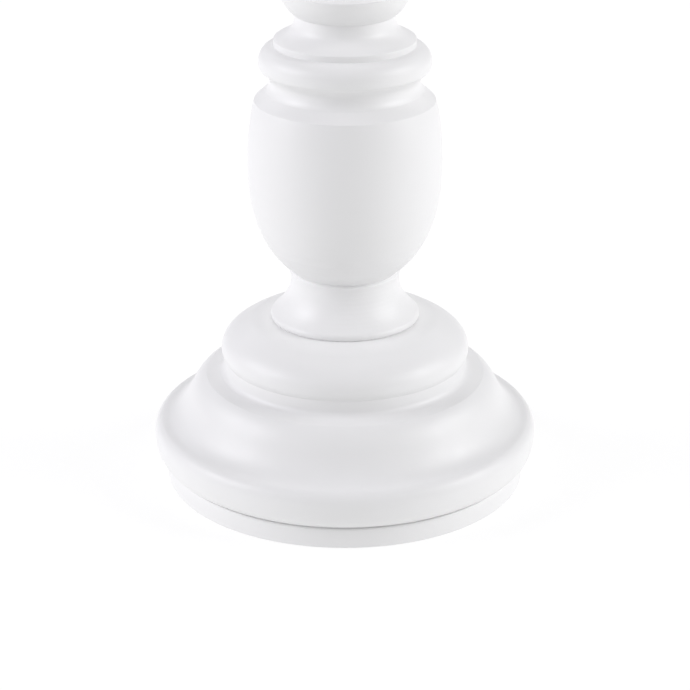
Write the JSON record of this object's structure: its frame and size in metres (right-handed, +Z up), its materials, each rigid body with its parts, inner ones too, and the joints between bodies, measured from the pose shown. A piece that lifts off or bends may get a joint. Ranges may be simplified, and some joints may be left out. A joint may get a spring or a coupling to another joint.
{
  "type": "candlestick",
  "caption": "Turned wooden candlestick: stepped round base, egg-shaped vase with bead and flange, slender stem, flared cup and a round drip dish with a steel pricket.",
  "frame": {"origin": "on the axis, at the plane that the felt pad stands on", "axes": "+Z up along the turning axis; X and Y are alike, the pattern of screws aside"},
  "size_m": [0.13, 0.13, 0.3185],
  "materials": {
    "white_paint": "white satin paint over turned wood",
    "bare_wood": "bare sanded wood",
    "zinc_steel": "zinc-plated steel",
    "nickel_plate": "satin nickel-plated steel",
    "felt": "pressed wool felt"
  },
  "bodies": {
    "root": {"foot_ring": "white_paint", "base_moulding": "white_paint", "base_dome": "white_paint", "foot_collar": "white_paint", "vase": "white_paint", "shoulder_knop": "white_paint", "stem_ring": "white_paint", "upper_stem": "white_paint", "stem_bead": "white_paint", "candle_cup": "white_paint", "drip_dish": "white_paint", "foot_screws": "zinc_steel", "lower_nut": "zinc_steel", "lower_washer": "zinc_steel", "tie_rod": "zinc_steel", "upper_washer": "zinc_steel", "upper_nut": "zinc_steel", "pricket_plate": "nickel_plate", "pricket": "nickel_plate", "plate_screws": "nickel_plate", "rod_plug": "bare_wood", "felt_pad": "felt"}
  },
  "joints": []
}
